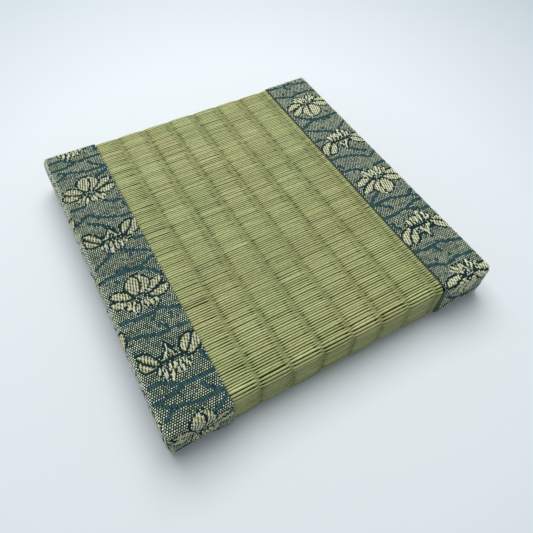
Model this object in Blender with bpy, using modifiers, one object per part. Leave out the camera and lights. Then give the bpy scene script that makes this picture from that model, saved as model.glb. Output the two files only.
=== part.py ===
"""Small tatami mat: a rush-covered board edged on two sides with folded brocade borders.

Metres, +Z up. The origin is under the middle of the mat, on the surface it lies on.
+X runs across the mat from border to border, and -Y is the front edge.
"""
import math

import bmesh
import bpy
from mathutils import Vector

# Overall size of the mat.
MAT_WIDTH = 0.1577
MAT_DEPTH = 0.1616
MAT_HEIGHT = 0.021

# Cloth borders, folded over the left and right sides.
LEFT_INNER_X = 0.0511      # from the mat's middle to the left border's edge on the rush
RIGHT_INNER_X = 0.0523     # and to the right border's
BORDER_UNDER_X = 0.057     # where both end underneath
CLOTH_THICK = 0.0012
CLOTH_ROUND = 0.0022       # how the cloth turns over the board's edges
SIDE_BULGE = 0.0008        # the cloth swells out between the side's two edges
END_BULGE = 0.0003
CLOTH_CROWN = 0.0003       # the top strip falls away towards its inner edge
CLOTH_WAVE = 0.0001        # slow unevenness along the strip
WAVE_LENGTH = 0.061

GAP = 0.0003               # between pieces that touch

# Woven rush facing: strands run along X, and the weave's columns along Y.
COLUMN_PITCH = 0.0145
COLUMN_SHIFT = 0.0045      # from the middle of the mat to the nearest column line
RUSH_HEIGHT = 0.01925      # at a column line
RUSH_FRONT_Y = 0.0789      # at a column line, drawn in behind the borders' front
RUSH_BACK_Y = 0.0802       # at a column line, nearly level with the borders' back
COLUMN_CROWN = 0.00045     # how far a column swells between its lines
CROWN_POWER = 2.4
STRAND_PITCH = 0.001164
STRAND_RELIEF = 0.0003
FRONT_ROUND = 0.0036       # the facing's turn over the front edge
FRONT_TURN_STRANDS = 4
BACK_ROUND = 0.0016        # and over the back edge
BACK_TURN_STRANDS = 2
FOOT_ROUND = 0.0014
FOOT_STEPS = 3
FACE_STEPS = 3

# What lies under the cloth: the covered board, drawn in by the cloth's thickness.
TONGUE_ROUND = 0.0009
SOLE_INSET = 0.0008
SOLE_HEIGHT = 0.005

RUSH_COLOUR = (0.36, 0.38, 0.17, 1.0)
BORDER_COLOUR = (0.11, 0.16, 0.15, 1.0)


def clear_scene():
    for thing in list(bpy.data.objects):
        bpy.data.objects.remove(thing, do_unlink=True)


def make_collection(name):
    collection = bpy.data.collections.new(name)
    bpy.context.scene.collection.children.link(collection)
    return collection


def make_material(name, colour, roughness):
    material = bpy.data.materials.new(name)
    material.use_nodes = True
    shader = material.node_tree.nodes["Principled BSDF"]
    shader.inputs["Base Color"].default_value = colour
    shader.inputs["Roughness"].default_value = roughness
    shader.inputs["Metallic"].default_value = 0.0
    return material


def mesh_object(name, bm, collection, material=None):
    mesh = bpy.data.meshes.new(name)
    bm.to_mesh(mesh)
    bm.free()
    thing = bpy.data.objects.new(name, mesh)
    collection.objects.link(thing)
    if material:
        mesh.materials.append(material)
    return thing


def as_cutter(thing):
    thing.hide_render = True
    thing.display_type = "WIRE"
    return thing


def box_bmesh(low, high):
    low, high = Vector(low), Vector(high)
    bm = bmesh.new()
    bmesh.ops.create_cube(bm, size=1.0)
    bmesh.ops.scale(bm, vec=high - low, verts=bm.verts)
    bmesh.ops.translate(bm, vec=(low + high) / 2, verts=bm.verts)
    return bm


def cut_along(bm, axis, places):
    """Adds an edge loop to the box wherever a plane across the axis meets it."""
    normal = Vector((0, 0, 0))
    normal[axis] = 1
    for place in places:
        everything = bm.verts[:] + bm.edges[:] + bm.faces[:]
        bmesh.ops.bisect_plane(bm, geom=everything, plane_co=normal * place, plane_no=normal)


def even_steps(start, end, count):
    return [start + (end - start) * i / count for i in range(count + 1)]


def round_steps(edge, inward, radius, count):
    """Places of the cuts that turn into one rounded edge, from the edge inwards."""
    return [edge + inward * radius * (1 - math.tan(math.pi / 4 * i / count)) for i in range(count)]


def crown_at(x):
    """0 on a column line and 1 in the middle of a column."""
    across = (x - COLUMN_SHIFT) / COLUMN_PITCH
    from_middle = abs(across - math.floor(across) - 0.5) * 2
    return 1 - from_middle ** CROWN_POWER


def column_of(x):
    return math.floor((x - COLUMN_SHIFT) / COLUMN_PITCH)


def arc(centre_y, centre_z, radius, start, end, count):
    """Points and outward normals of an arc in the YZ plane, angles in degrees."""
    points = []
    for i in range(count + 1):
        angle = math.radians(start + (end - start) * i / count)
        normal = Vector((0, math.cos(angle), math.sin(angle)))
        points.append((Vector((0, centre_y, centre_z)) + normal * radius, normal))
    return points


def rush_side(face_y, turn_radius, turn_strands):
    """Section of the facing's front side, from the sole up to the flat of the top.

    Each row is a point, its outward normal, and whether strands are raised there.
    """
    foot = arc(-face_y + FOOT_ROUND, FOOT_ROUND, FOOT_ROUND, 270, 180, FOOT_STEPS)
    rows = [(point, normal, False) for point, normal in foot]
    turn_z = RUSH_HEIGHT - turn_radius
    for z in even_steps(FOOT_ROUND, turn_z, FACE_STEPS)[1:-1]:
        rows.append((Vector((0, -face_y, z)), Vector((0, -1, 0)), False))
    turn = arc(-face_y + turn_radius, turn_z, turn_radius, 180, 90, 2 * turn_strands)
    return rows + [(point, normal, True) for point, normal in turn]


def rush_outline():
    """The facing's whole section, from the front's foot over the top to the back's foot."""
    front = rush_side(RUSH_FRONT_Y, FRONT_ROUND, FRONT_TURN_STRANDS)
    back = [
        (Vector((0, -point.y, point.z)), Vector((0, -normal.y, normal.z)), ridged)
        for point, normal, ridged in reversed(rush_side(RUSH_BACK_Y, BACK_ROUND, BACK_TURN_STRANDS))
    ]
    start, end = front[-1][0].y, back[0][0].y
    strands = round((end - start) / STRAND_PITCH)
    up = Vector((0, 0, 1))
    top = [(Vector((0, y, RUSH_HEIGHT)), up, True) for y in even_steps(start, end, 2 * strands)]
    return front + top[1:-1] + back


def rush_section(x, outline):
    """The facing's closed section at x, swollen by its column and ridged by its strands."""
    swell, column = crown_at(x), column_of(x)
    section, ridge = [], column
    for point, normal, ridged in outline:
        out = COLUMN_CROWN * swell if point.z > 0 else 0.0
        if ridged:
            out += (STRAND_RELIEF if ridge % 2 else -STRAND_RELIEF) / 2 * swell
            ridge += 1
        place = point + Vector((0, normal.y, max(normal.z, 0.0))) * out
        section.append(Vector((x, place.y, place.z)))
    return section


def rush_stations():
    """X of each section: every column line, every column's middle, and the two ends."""
    left, right = -LEFT_INNER_X + GAP, RIGHT_INNER_X - GAP
    places = [left, right]
    line = COLUMN_SHIFT + COLUMN_PITCH * math.ceil((left - COLUMN_SHIFT) / COLUMN_PITCH)
    middle = line - COLUMN_PITCH / 2
    while middle < right:
        places += [x for x in (middle, line) if left + 2 * GAP < x < right - 2 * GAP]
        line += COLUMN_PITCH
        middle += COLUMN_PITCH
    return sorted(places)


def make_rush_loft(collection, material):
    """The ridged facing between the borders, lofted through its sections."""
    bm = bmesh.new()
    outline = rush_outline()
    rings = [[bm.verts.new(p) for p in rush_section(x, outline)] for x in rush_stations()]
    count = len(rings[0])
    for near, far in zip(rings, rings[1:]):
        for i in range(count):
            j = (i + 1) % count
            bm.faces.new((near[i], near[j], far[j], far[i]))
    bm.faces.new(list(reversed(rings[0])))
    bm.faces.new(rings[-1])
    bmesh.ops.recalc_face_normals(bm, faces=bm.faces)
    return mesh_object("mat_body", bm, collection, material)


def make_tongue(collection):
    """The covered board that runs on under both borders."""
    half_x = MAT_WIDTH / 2 - SIDE_BULGE - CLOTH_THICK - GAP
    half_y = RUSH_FRONT_Y - GAP
    low_z, top_z = CLOTH_THICK + GAP, MAT_HEIGHT - CLOTH_CROWN - CLOTH_WAVE - CLOTH_THICK - GAP
    bm = box_bmesh((-half_x, -half_y, low_z), (half_x, half_y, top_z))
    tongue = as_cutter(mesh_object("tongue", bm, collection))
    bevel = tongue.modifiers.new("round", "BEVEL")
    bevel.width = TONGUE_ROUND
    bevel.segments = 2
    return tongue


def make_sole(collection):
    """The part of the underside that reaches the floor between the two borders."""
    half_x = BORDER_UNDER_X - GAP
    half_y = MAT_DEPTH / 2 - END_BULGE - CLOTH_ROUND - SOLE_INSET
    bm = box_bmesh((-half_x, -half_y, 0), (half_x, half_y, SOLE_HEIGHT))
    return as_cutter(mesh_object("sole", bm, collection))


def join(thing, other):
    union = thing.modifiers.new("join " + other.name, "BOOLEAN")
    union.operation = "UNION"
    union.solver = "EXACT"
    union.object = other


def make_mat_body(collection, helpers, material):
    body = make_rush_loft(collection, material)
    join(body, make_tongue(helpers))
    join(body, make_sole(helpers))
    return body


def rounded(point, low, high, radius):
    """Moves a point of a box's surface onto the same box with rounded edges."""
    inner = Vector(min(max(p, a + radius), b - radius) for p, a, b in zip(point, low, high))
    away = point - inner
    return inner + away.normalized() * radius if away.length > 0 else point


def cloth_shape(point, half_x, half_y, inner_x):
    """Swells the side and the ends, and lets the top strip fall and wave a little."""
    up = point.z / MAT_HEIGHT
    swell = 4 * up * (1 - up)
    shaped = point.copy()
    outer = max(0.0, (abs(point.x) - half_x + CLOTH_ROUND) / CLOTH_ROUND)
    shaped.x -= SIDE_BULGE * swell * outer
    end = max(0.0, (abs(point.y) - half_y + CLOTH_ROUND) / CLOTH_ROUND)
    shaped.y += math.copysign(END_BULGE * swell * end, point.y)
    if up > 0.5:
        across = (half_x - abs(point.x)) / (half_x - inner_x)
        fall = CLOTH_CROWN * across ** 2
        wave = CLOTH_WAVE * 0.5 * (1 - math.cos(2 * math.pi * point.y / WAVE_LENGTH))
        shaped.z -= (fall + wave) * (up - 0.5) * 2
    return shaped


def make_border(name, side, inner_x, collection, material):
    """One brocade strip: over the top, down the side and both ends, and under the edge."""
    half_x = MAT_WIDTH / 2 - SIDE_BULGE
    half_y = MAT_DEPTH / 2 - END_BULGE
    low, high = Vector((-half_x, -half_y, 0)), Vector((-inner_x, half_y, MAT_HEIGHT))
    bm = box_bmesh(low, high)
    turn = 3
    cut_along(bm, 0, round_steps(low.x, 1, CLOTH_ROUND, turn)[1:] + [low.x + CLOTH_ROUND])
    cut_along(bm, 0, even_steps(low.x + CLOTH_ROUND, high.x, 4)[1:-1] + [-BORDER_UNDER_X])
    cut_along(bm, 1, round_steps(low.y, 1, CLOTH_ROUND, turn)[1:])
    cut_along(bm, 1, round_steps(high.y, -1, CLOTH_ROUND, turn)[1:])
    cut_along(bm, 1, even_steps(low.y + CLOTH_ROUND, high.y - CLOTH_ROUND, 16))
    cut_along(bm, 2, round_steps(low.z, 1, CLOTH_ROUND, turn)[1:])
    cut_along(bm, 2, round_steps(high.z, -1, CLOTH_ROUND, turn)[1:])
    cut_along(bm, 2, even_steps(low.z + CLOTH_ROUND, high.z - CLOTH_ROUND, 4))

    near = CLOTH_THICK / 20
    inner_side = [f for f in bm.faces if f.calc_center_median().x > high.x - near]
    under = [
        f for f in bm.faces
        if f.calc_center_median().z < near
        and f.calc_center_median().x > -BORDER_UNDER_X
        and abs(f.calc_center_median().y) < half_y - CLOTH_ROUND
    ]
    bmesh.ops.delete(bm, geom=inner_side + under, context="FACES")

    reach = high + Vector((2 * CLOTH_ROUND, 0, 0))
    for vert in bm.verts:
        place = rounded(vert.co, low, reach, CLOTH_ROUND)
        vert.co = cloth_shape(place, half_x, half_y, inner_x)
    if side > 0:
        bmesh.ops.scale(bm, vec=(-1, 1, 1), verts=bm.verts)
        bmesh.ops.reverse_faces(bm, faces=bm.faces)
    border = mesh_object(name, bm, collection, material)
    wall = border.modifiers.new("cloth", "SOLIDIFY")
    wall.thickness = CLOTH_THICK
    wall.offset = -1
    wall.use_even_offset = True
    border.data.shade_smooth()
    border.data.set_sharp_from_angle(angle=math.radians(40))
    return border


def main():
    clear_scene()
    parts = make_collection("tatami_mat")
    helpers = make_collection("helpers")
    rush = make_material("woven_rush", RUSH_COLOUR, 0.6)
    brocade = make_material("border_brocade", BORDER_COLOUR, 0.8)
    make_mat_body(parts, helpers, rush)
    make_border("border_left", -1, LEFT_INNER_X, parts, brocade)
    make_border("border_right", 1, RIGHT_INNER_X, parts, brocade)


main()
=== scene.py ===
import math

import bpy
import numpy as np
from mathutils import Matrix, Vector


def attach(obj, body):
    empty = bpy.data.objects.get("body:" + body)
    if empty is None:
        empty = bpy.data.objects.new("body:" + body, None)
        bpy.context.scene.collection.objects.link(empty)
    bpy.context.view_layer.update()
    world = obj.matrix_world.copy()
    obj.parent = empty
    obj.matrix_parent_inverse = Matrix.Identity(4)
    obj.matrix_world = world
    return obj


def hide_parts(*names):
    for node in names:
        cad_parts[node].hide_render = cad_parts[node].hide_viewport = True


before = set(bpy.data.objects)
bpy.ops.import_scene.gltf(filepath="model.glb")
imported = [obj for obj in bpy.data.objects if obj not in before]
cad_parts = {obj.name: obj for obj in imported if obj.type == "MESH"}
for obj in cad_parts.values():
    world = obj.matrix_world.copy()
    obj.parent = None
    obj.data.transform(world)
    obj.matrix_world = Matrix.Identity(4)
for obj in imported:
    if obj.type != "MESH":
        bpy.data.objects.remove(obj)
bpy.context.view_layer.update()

print("frame loaded:", sorted(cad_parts))

chance = np.random.default_rng(41)

# the mat's own measures, in metres, as its solids have them
mat = {
    "width": 0.1577,
    "depth": 0.1616,
    "height": 0.021,
    "leftInner": 0.0511,  # from the middle to each border's edge on the rush
    "rightInner": 0.0523,
    "underEdge": 0.057,  # where both borders end underneath
    "columnPitch": 0.0145,
    "columnShift": 0.0045,  # from the middle to the nearest column line
    "strandPitch": 0.001164,
    "warpPitch": 0.000481,  # of the borders' cloth
    "pickPitch": 0.000873,
}


# helpers for modelling as by hand
def deselectAll():
    bpy.ops.object.select_all(action="DESELECT")


def pickOnly(piece):
    deselectAll()
    piece.select_set(True)
    bpy.context.view_layer.objects.active = piece


def settle(piece):
    pickOnly(piece)
    bpy.ops.object.transform_apply(location=True, rotation=True, scale=True)


def editSelected(piece, work):
    pickOnly(piece)
    bpy.ops.object.mode_set(mode="EDIT")
    work()
    bpy.ops.object.mode_set(mode="OBJECT")


def addNew(operator, **settings):
    deselectAll()
    operator(**settings)
    return bpy.context.object


def startBox(name, low, high):
    low, high = Vector(low), Vector(high)
    box = addNew(bpy.ops.mesh.primitive_cube_add, size=1, location=(low + high) / 2, scale=high - low)
    box.name = name
    settle(box)
    return box


def cutAcross(piece, axis, places):
    across = [0, 0, 0]
    across[axis] = 1

    def cut():
        for place in places:
            bpy.ops.mesh.select_all(action="SELECT")
            bpy.ops.mesh.bisect(plane_co=[step * place for step in across], plane_no=across)

    editSelected(piece, cut)


selectKinds = ["vertices", "edges", "polygons"]  # in the order of the select mode's switches


def selectOnly(piece, kind, wanted):
    for name in selectKinds:
        items = getattr(piece.data, name)
        items.foreach_set("select", [name == kind and wanted(item) for item in items])
    bpy.context.tool_settings.mesh_select_mode = [name == kind for name in selectKinds]


def smooth(piece, degrees):
    pickOnly(piece)
    bpy.ops.object.shade_smooth_by_angle(angle=math.radians(degrees))


def evenPlaces(start, end, count):
    return [start + (end - start) * i / count for i in range(count + 1)]


def pointsOf(piece):
    points = np.empty(len(piece.data.vertices) * 3)
    piece.data.vertices.foreach_get("co", points)
    return points.reshape(-1, 3)


def takeTemplate(piece):
    # points and faces of a shape that is modelled once and then copied
    shape = (pointsOf(piece), [tuple(face.vertices) for face in piece.data.polygons])
    mesh = piece.data
    bpy.data.objects.remove(piece, do_unlink=True)
    bpy.data.meshes.remove(mesh)
    return shape


def finishPiece(piece):
    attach(piece, "root")


def joinCopies(name, groups, materials):
    # each group has the points of every copy, the template's faces, every copy's material slot, and the
    # extra values of every copy or of every point
    allPoints, allFaces, allSlots = [], [], []
    values = {extra: [] for extra in groups[0][3]}
    offset = 0
    for points, faces, slots, marks in groups:
        copies, perCopy = points.shape[0], points.shape[1]
        if copies == 0:
            continue
        allPoints.append(points.reshape(-1, 3))
        bases = offset + np.arange(copies) * perCopy
        for face in faces:
            allFaces.append(bases[:, None] + np.array(face)[None, :])
            allSlots.append(slots)
        for extra, blocks in values.items():
            mark = np.asarray(marks[extra], dtype=float)
            if mark.ndim == 1:
                mark = np.repeat(mark[:, None], perCopy, axis=1)
            blocks.append(mark.ravel())
        offset += copies * perCopy
    points = np.concatenate(allPoints)
    sizes = np.concatenate([np.full(len(block), block.shape[1]) for block in allFaces])
    corners = np.concatenate([block.ravel() for block in allFaces])
    starts = np.concatenate([[0], np.cumsum(sizes)[:-1]])
    mesh = bpy.data.meshes.new(name)
    mesh.vertices.add(len(points))
    mesh.vertices.foreach_set("co", points.astype(np.float32).ravel())
    mesh.loops.add(len(corners))
    mesh.loops.foreach_set("vertex_index", corners.astype(np.int32))
    mesh.polygons.add(len(sizes))
    mesh.polygons.foreach_set("loop_start", starts.astype(np.int32))
    mesh.polygons.foreach_set("material_index", np.concatenate(allSlots).astype(np.int32))
    for material in materials:
        mesh.materials.append(material)
    mesh.update(calc_edges=True)
    mesh.validate()
    for extra, blocks in values.items():
        layer = mesh.attributes.new(extra, "FLOAT", "POINT")
        layer.data.foreach_set("value", np.concatenate(blocks).astype(np.float32))
    mesh.shade_smooth()
    piece = bpy.data.objects.new(name, mesh)
    bpy.context.scene.collection.objects.link(piece)
    finishPiece(piece)
    print(name, "has", sum(len(group[0]) for group in groups), "floats")
    return piece


# helpers for materials
def feed(tree, socket, value):
    # a link where the value is another node's socket, and otherwise the value itself
    if isinstance(value, bpy.types.NodeSocket):
        tree.links.new(value, socket)
    elif value is not None:
        socket.default_value = (*value, 1.0) if socket.type == "RGBA" else value


def scaled(colour, part):
    return tuple(value * part for value in colour)


def addNode(tree, kind, place, inputs={}, **settings):
    node = tree.nodes.new(kind)
    node.location = place
    for key, value in settings.items():
        setattr(node, key, value)
    for key, value in inputs.items():
        feed(tree, node.inputs[key], value)
    return node


def addMix(tree, place, factor, first, second, kind="MULTIPLY"):
    inputs = {0: factor, 6: first, 7: second}
    return addNode(tree, "ShaderNodeMix", place, inputs, data_type="RGBA", blend_type=kind).outputs[2]


def addRamp(tree, place, stops, source):
    node = addNode(tree, "ShaderNodeValToRGB", place, {"Fac": source})
    ramp = node.color_ramp
    while len(ramp.elements) < len(stops):
        ramp.elements.new(0.5)
    for element, (where, colour) in zip(ramp.elements, stops):
        element.position = where
        element.color = (*colour, 1.0)
    return node.outputs["Color"]


def addMath(tree, place, operation, first, second=None, clamp=False):
    settings = {"operation": operation, "use_clamp": clamp}
    return addNode(tree, "ShaderNodeMath", place, {0: first, 1: second}, **settings).outputs[0]


def addAttribute(tree, place, name):
    return addNode(tree, "ShaderNodeAttribute", place, attribute_name=name).outputs["Fac"]


def addPlace(tree, place):
    return addNode(tree, "ShaderNodeTexCoord", place).outputs["Object"]


def newMaterial(name, roughness, specular, sheen=0.0):
    material = bpy.data.materials.new(name)
    material.use_nodes = True
    shader = material.node_tree.nodes["Principled BSDF"]
    shader.inputs["Roughness"].default_value = roughness
    shader.inputs["Specular IOR Level"].default_value = specular
    shader.inputs["Sheen Weight"].default_value = sheen
    shader.inputs["Sheen Roughness"].default_value = 0.5
    return material, material.node_tree


def dress(material, colour, normal=None):
    shader = material.node_tree.nodes["Principled BSDF"]
    feed(material.node_tree, shader.inputs["Base Color"], colour)
    feed(material.node_tree, shader.inputs["Normal"], normal)
    return material


def makeFibreGroup():
    # fine streaks along the piece's own fibres: a mask, and a normal from the same streaks
    group = bpy.data.node_groups.new("fibreStreaks", "ShaderNodeTree")
    face = group.interface
    for name, value in (("Along", 100.0), ("Across", 3000.0), ("Detail", 3.0), ("Relief", 0.00003)):
        face.new_socket(name, in_out="INPUT", socket_type="NodeSocketFloat").default_value = value
    face.new_socket("Streak", in_out="OUTPUT", socket_type="NodeSocketFloat")
    face.new_socket("Normal", in_out="OUTPUT", socket_type="NodeSocketVector")
    start = addNode(group, "NodeGroupInput", (-900, 0)).outputs
    stretch = addNode(group, "ShaderNodeCombineXYZ", (-700, 0), {
        "X": start["Along"], "Y": start["Across"], "Z": start["Across"],
    })
    stretched = addNode(group, "ShaderNodeVectorMath", (-500, 100), {
        0: addPlace(group, (-900, 250)), 1: stretch.outputs["Vector"],
    }, operation="MULTIPLY")
    noise = addNode(group, "ShaderNodeTexNoise", (-300, 100), {
        "Vector": stretched.outputs["Vector"], "Scale": 1.0, "Detail": start["Detail"], "Roughness": 0.6,
    })
    bump = addNode(group, "ShaderNodeBump", (0, -100), {
        "Strength": 0.8, "Distance": start["Relief"], "Height": noise.outputs["Fac"],
    })
    addNode(group, "NodeGroupOutput", (500, 0), {
        "Streak": noise.outputs["Fac"], "Normal": bump.outputs["Normal"],
    })
    return group


fibreGroup = makeFibreGroup()


def addFibre(tree, place, along, across, detail, relief):
    inputs = {"Along": along, "Across": across, "Detail": detail, "Relief": relief}
    return addNode(tree, "ShaderNodeGroup", place, inputs, node_tree=fibreGroup).outputs


rushFinish = {
    "deep": (0.352, 0.382, 0.176),
    "green": (0.442, 0.472, 0.230),
    "yellow": (0.508, 0.534, 0.272),
    "straw": (0.582, 0.590, 0.330),
    "patch": [(0.36, (0.97, 1.01, 0.98)), (0.64, (1.03, 0.99, 0.97))],  # broad green and tan patches
    "streak": [(0.3, (0.80, 0.80, 0.74)), (0.55, (1.0, 1.0, 1.0)), (0.75, (1.12, 1.11, 1.10))],
    "fleck": [(0.35, (0.86, 0.87, 0.84)), (0.65, (1.10, 1.09, 1.10))],
    "diveShadeTint": (0.54, 0.58, 0.49),  # painted shade on the strands' ends, where they dive under the next column
    "flankShade": (0.81, 0.855, 0.61),  # painted shade on the lower sides of the strands, in the gaps between them
    # painted shade in the gaps between the strands
    "under": (0.050, 0.066, 0.008),
    "underDeep": 0.6,  # the darkest part of that painted shade
}


def makeRushMaterial():
    material, tree = newMaterial("rushStrand", 0.52, 0.26)
    tone = addAttribute(tree, (-1200, 200), "strandTone")
    diveShade = addAttribute(tree, (-1200, -300), "diveShade")
    flankShade = addAttribute(tree, (-1200, -450), "flankShade")
    colour = addRamp(tree, (-950, 200), [
        (0.0, rushFinish["deep"]), (0.35, rushFinish["green"]),
        (0.7, rushFinish["yellow"]), (1.0, rushFinish["straw"]),
    ], tone)
    broad = addNode(tree, "ShaderNodeTexNoise", (-1300, -20), {
        "Vector": addPlace(tree, (-1600, 0)), "Scale": 38.0, "Detail": 2.0, "Roughness": 0.5,
    })
    patch = addRamp(tree, (-1000, -40), rushFinish["patch"], broad.outputs["Fac"])
    colour = addMix(tree, (-650, 100), 1.0, colour, patch)
    fibre = addFibre(tree, (-1000, -600), 140.0, 5200.0, 3.0, 0.00005)
    streak = addRamp(tree, (-650, -300), rushFinish["streak"], fibre["Streak"])
    colour = addMix(tree, (-400, 50), 0.8, colour, streak)
    speckle = addFibre(tree, (-1000, -800), 800.0, 1600.0, 1.0, 0.0)
    fleck = addRamp(tree, (-650, -600), rushFinish["fleck"], speckle["Streak"])
    colour = addMix(tree, (-300, 200), 1.0, colour, fleck)
    # painted shade where the strands dive under the next column
    diveShaded = addMix(tree, (-400, -200), 1.0, colour, rushFinish["diveShadeTint"])
    colour = addMix(tree, (-200, 50), diveShade, colour, diveShaded, "MIX")
    # painted shade on the strands' lower sides
    shaded = addMix(tree, (-200, -200), 1.0, colour, rushFinish["flankShade"])
    colour = addMix(tree, (0, 50), flankShade, colour, shaded, "MIX")
    return dress(material, colour, fibre["Normal"])


def makeRushGapShadeMaterial():
    # painted shade: the rush seen in the gaps between strands is coloured dark as the shade there
    material, tree = newMaterial("rushShade", 0.9, 0.0)
    fibre = addFibre(tree, (-700, 0), 200.0, 3000.0, 2.0, 0.00005)
    low = scaled(rushFinish["under"], rushFinish["underDeep"])
    colour = addRamp(tree, (-400, 100), [(0.3, low), (0.7, rushFinish["under"])], fibre["Streak"])
    return dress(material, colour, fibre["Normal"])


def makeRushBackMaterial():
    # the underside: the same rush, woven in columns, as relief on a level face, its colour darkened into the
    # grooves as painted shade
    material, tree = newMaterial("rushBack", 0.6, 0.3)
    parts = addNode(tree, "ShaderNodeSeparateXYZ", (-1300, 0), {"Vector": addPlace(tree, (-1500, 0))})
    column = addMath(tree, (-1100, 200), "DIVIDE", parts.outputs["X"], mat["columnPitch"])
    column = addMath(tree, (-900, 200), "SUBTRACT", column, mat["columnShift"] / mat["columnPitch"])
    turn = addMath(tree, (-700, 260), "FLOOR", column)
    half = addMath(tree, (-500, 260), "MULTIPLY", turn, 0.5)
    rows = addMath(tree, (-1100, -100), "DIVIDE", parts.outputs["Y"], mat["strandPitch"])
    rows = addMath(tree, (-500, -100), "ADD", rows, half)
    ridge = addMath(tree, (-300, -100), "PINGPONG", rows, 0.5)
    column = addMath(tree, (-700, 100), "PINGPONG", column, 0.5)
    line = addMath(tree, (-300, 100), "GREATER_THAN", column, 0.06)
    height = addMath(tree, (-100, 0), "MULTIPLY", ridge, 2.0)
    height = addMath(tree, (100, 0), "MULTIPLY", height, line)
    fibre = addFibre(tree, (-300, -400), 140.0, 2500.0, 3.0, 0.00004)
    bump = addNode(tree, "ShaderNodeBump", (300, -200), {
        "Strength": 0.7, "Distance": 0.0003, "Height": height, "Normal": fibre["Normal"],
    })
    # painted shade: darker in the grooves and column lines, lighter on the ridges
    colour = addRamp(tree, (300, 100), [
        (0.0, rushFinish["deep"]), (0.4, rushFinish["green"]), (1.0, rushFinish["yellow"]),
    ], height)
    colour = addMix(tree, (500, 100), 0.5, colour, fibre["Streak"])
    return dress(material, colour, bump.outputs["Normal"])


brocadeFinish = {
    "ground": (0.008, 0.030, 0.028),
    "groundLight": (0.014, 0.046, 0.041),
    "edge": (0.110, 0.150, 0.125),
    "edgeLight": (0.230, 0.270, 0.215),
    "yarnDark": 0.38,  # of a yarn's colour, at a tone of 0
    "yarnLight": 1.25,  # at most, at a tone of 1
    "thread": [(0.3, (0.82, 0.82, 0.82)), (0.7, (1.08, 1.08, 1.08))],
}
# each yarn's colour, roughness and sheen, in the order of their slots; cream and gold are the white and
# the yellow yarn where they lie close together in a petal
yarnFinish = {
    "white": ((0.90, 0.97, 0.95), 0.7, 0.1),
    "yellow": ((0.80, 0.87, 0.46), 0.65, 0.1),
    "teal": ((0.060, 0.140, 0.158), 0.8, 0.0),
    "navy": ((0.011, 0.040, 0.046), 0.8, 0.0),
    "cream": ((0.62, 0.65, 0.54), 0.7, 0.1),
    "gold": ((0.64, 0.65, 0.34), 0.65, 0.1),
    "ochre": ((0.17, 0.145, 0.045), 0.8, 0.0),
}
yarnSlot = {name: slot for slot, name in enumerate(yarnFinish)}


def makeYarnMaterial(name, colour, roughness, sheen):
    material, tree = newMaterial(name, roughness, 0.15, sheen)
    tone = addAttribute(tree, (-900, 150), "tone")
    most = min(brocadeFinish["yarnLight"], 1 / max(colour))
    base = addRamp(tree, (-650, 150), [
        (0.0, scaled(colour, brocadeFinish["yarnDark"])), (1.0, scaled(colour, most)),
    ], tone)
    fibre = addFibre(tree, (-650, -150), 9000.0, 2200.0, 2.0, 0.00002)
    thread = addRamp(tree, (-400, -50), brocadeFinish["thread"], fibre["Streak"])
    base = addMix(tree, (-150, 100), 1.0, base, thread)
    return dress(material, base, fibre["Normal"])


def makeClothMaterial(name, low, light):
    material, tree = newMaterial(name, 0.9, 0.1)
    weft = addNode(tree, "ShaderNodeTexWave", (-850, 0), {
        "Vector": addPlace(tree, (-1100, 0)), "Scale": math.pi / 10 / mat["pickPitch"],
        "Distortion": 0.6, "Detail": 1.0, "Detail Scale": 2.0,
    }, wave_type="BANDS", bands_direction="Y")
    colour = addRamp(tree, (-550, 100), [(0.2, low), (0.9, light)], weft.outputs["Fac"])
    fibre = addFibre(tree, (-850, -350), 3000.0, 6000.0, 2.0, 0.00003)
    bump = addNode(tree, "ShaderNodeBump", (-300, -200), {
        "Strength": 0.6, "Distance": 0.00012, "Height": weft.outputs["Fac"], "Normal": fibre["Normal"],
    })
    return dress(material, colour, bump.outputs["Normal"])


rushMaterial = makeRushMaterial()
rushGapShade = makeRushGapShadeMaterial()
rushBack = makeRushBackMaterial()
# the dark weft that shows between the floating yarns, and the cloth's folded inner edge
clothGround = makeClothMaterial("brocadeGround", brocadeFinish["ground"], brocadeFinish["groundLight"])
clothEdge = makeClothMaterial("brocadeEdge", brocadeFinish["edge"], brocadeFinish["edgeLight"])
yarnMaterials = [makeYarnMaterial(name + "Yarn", *finish) for name, finish in yarnFinish.items()]
print("materials made")


# the board in its rush: what lies under the strands
rushBody = {
    "frontY": -0.0786,
    "backY": 0.0799,
    "topZ": 0.01895,
    "frontTurn": 0.0034,
    "backTurn": 0.0014,
    "foot": 0.0012,
    "soleTop": 0.0045,
    "soleY": 0.0775,
    "soleGap": 0.0003,  # between the sole and the cloths' folded edges
    "clothGap": 0.0002,
}


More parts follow.
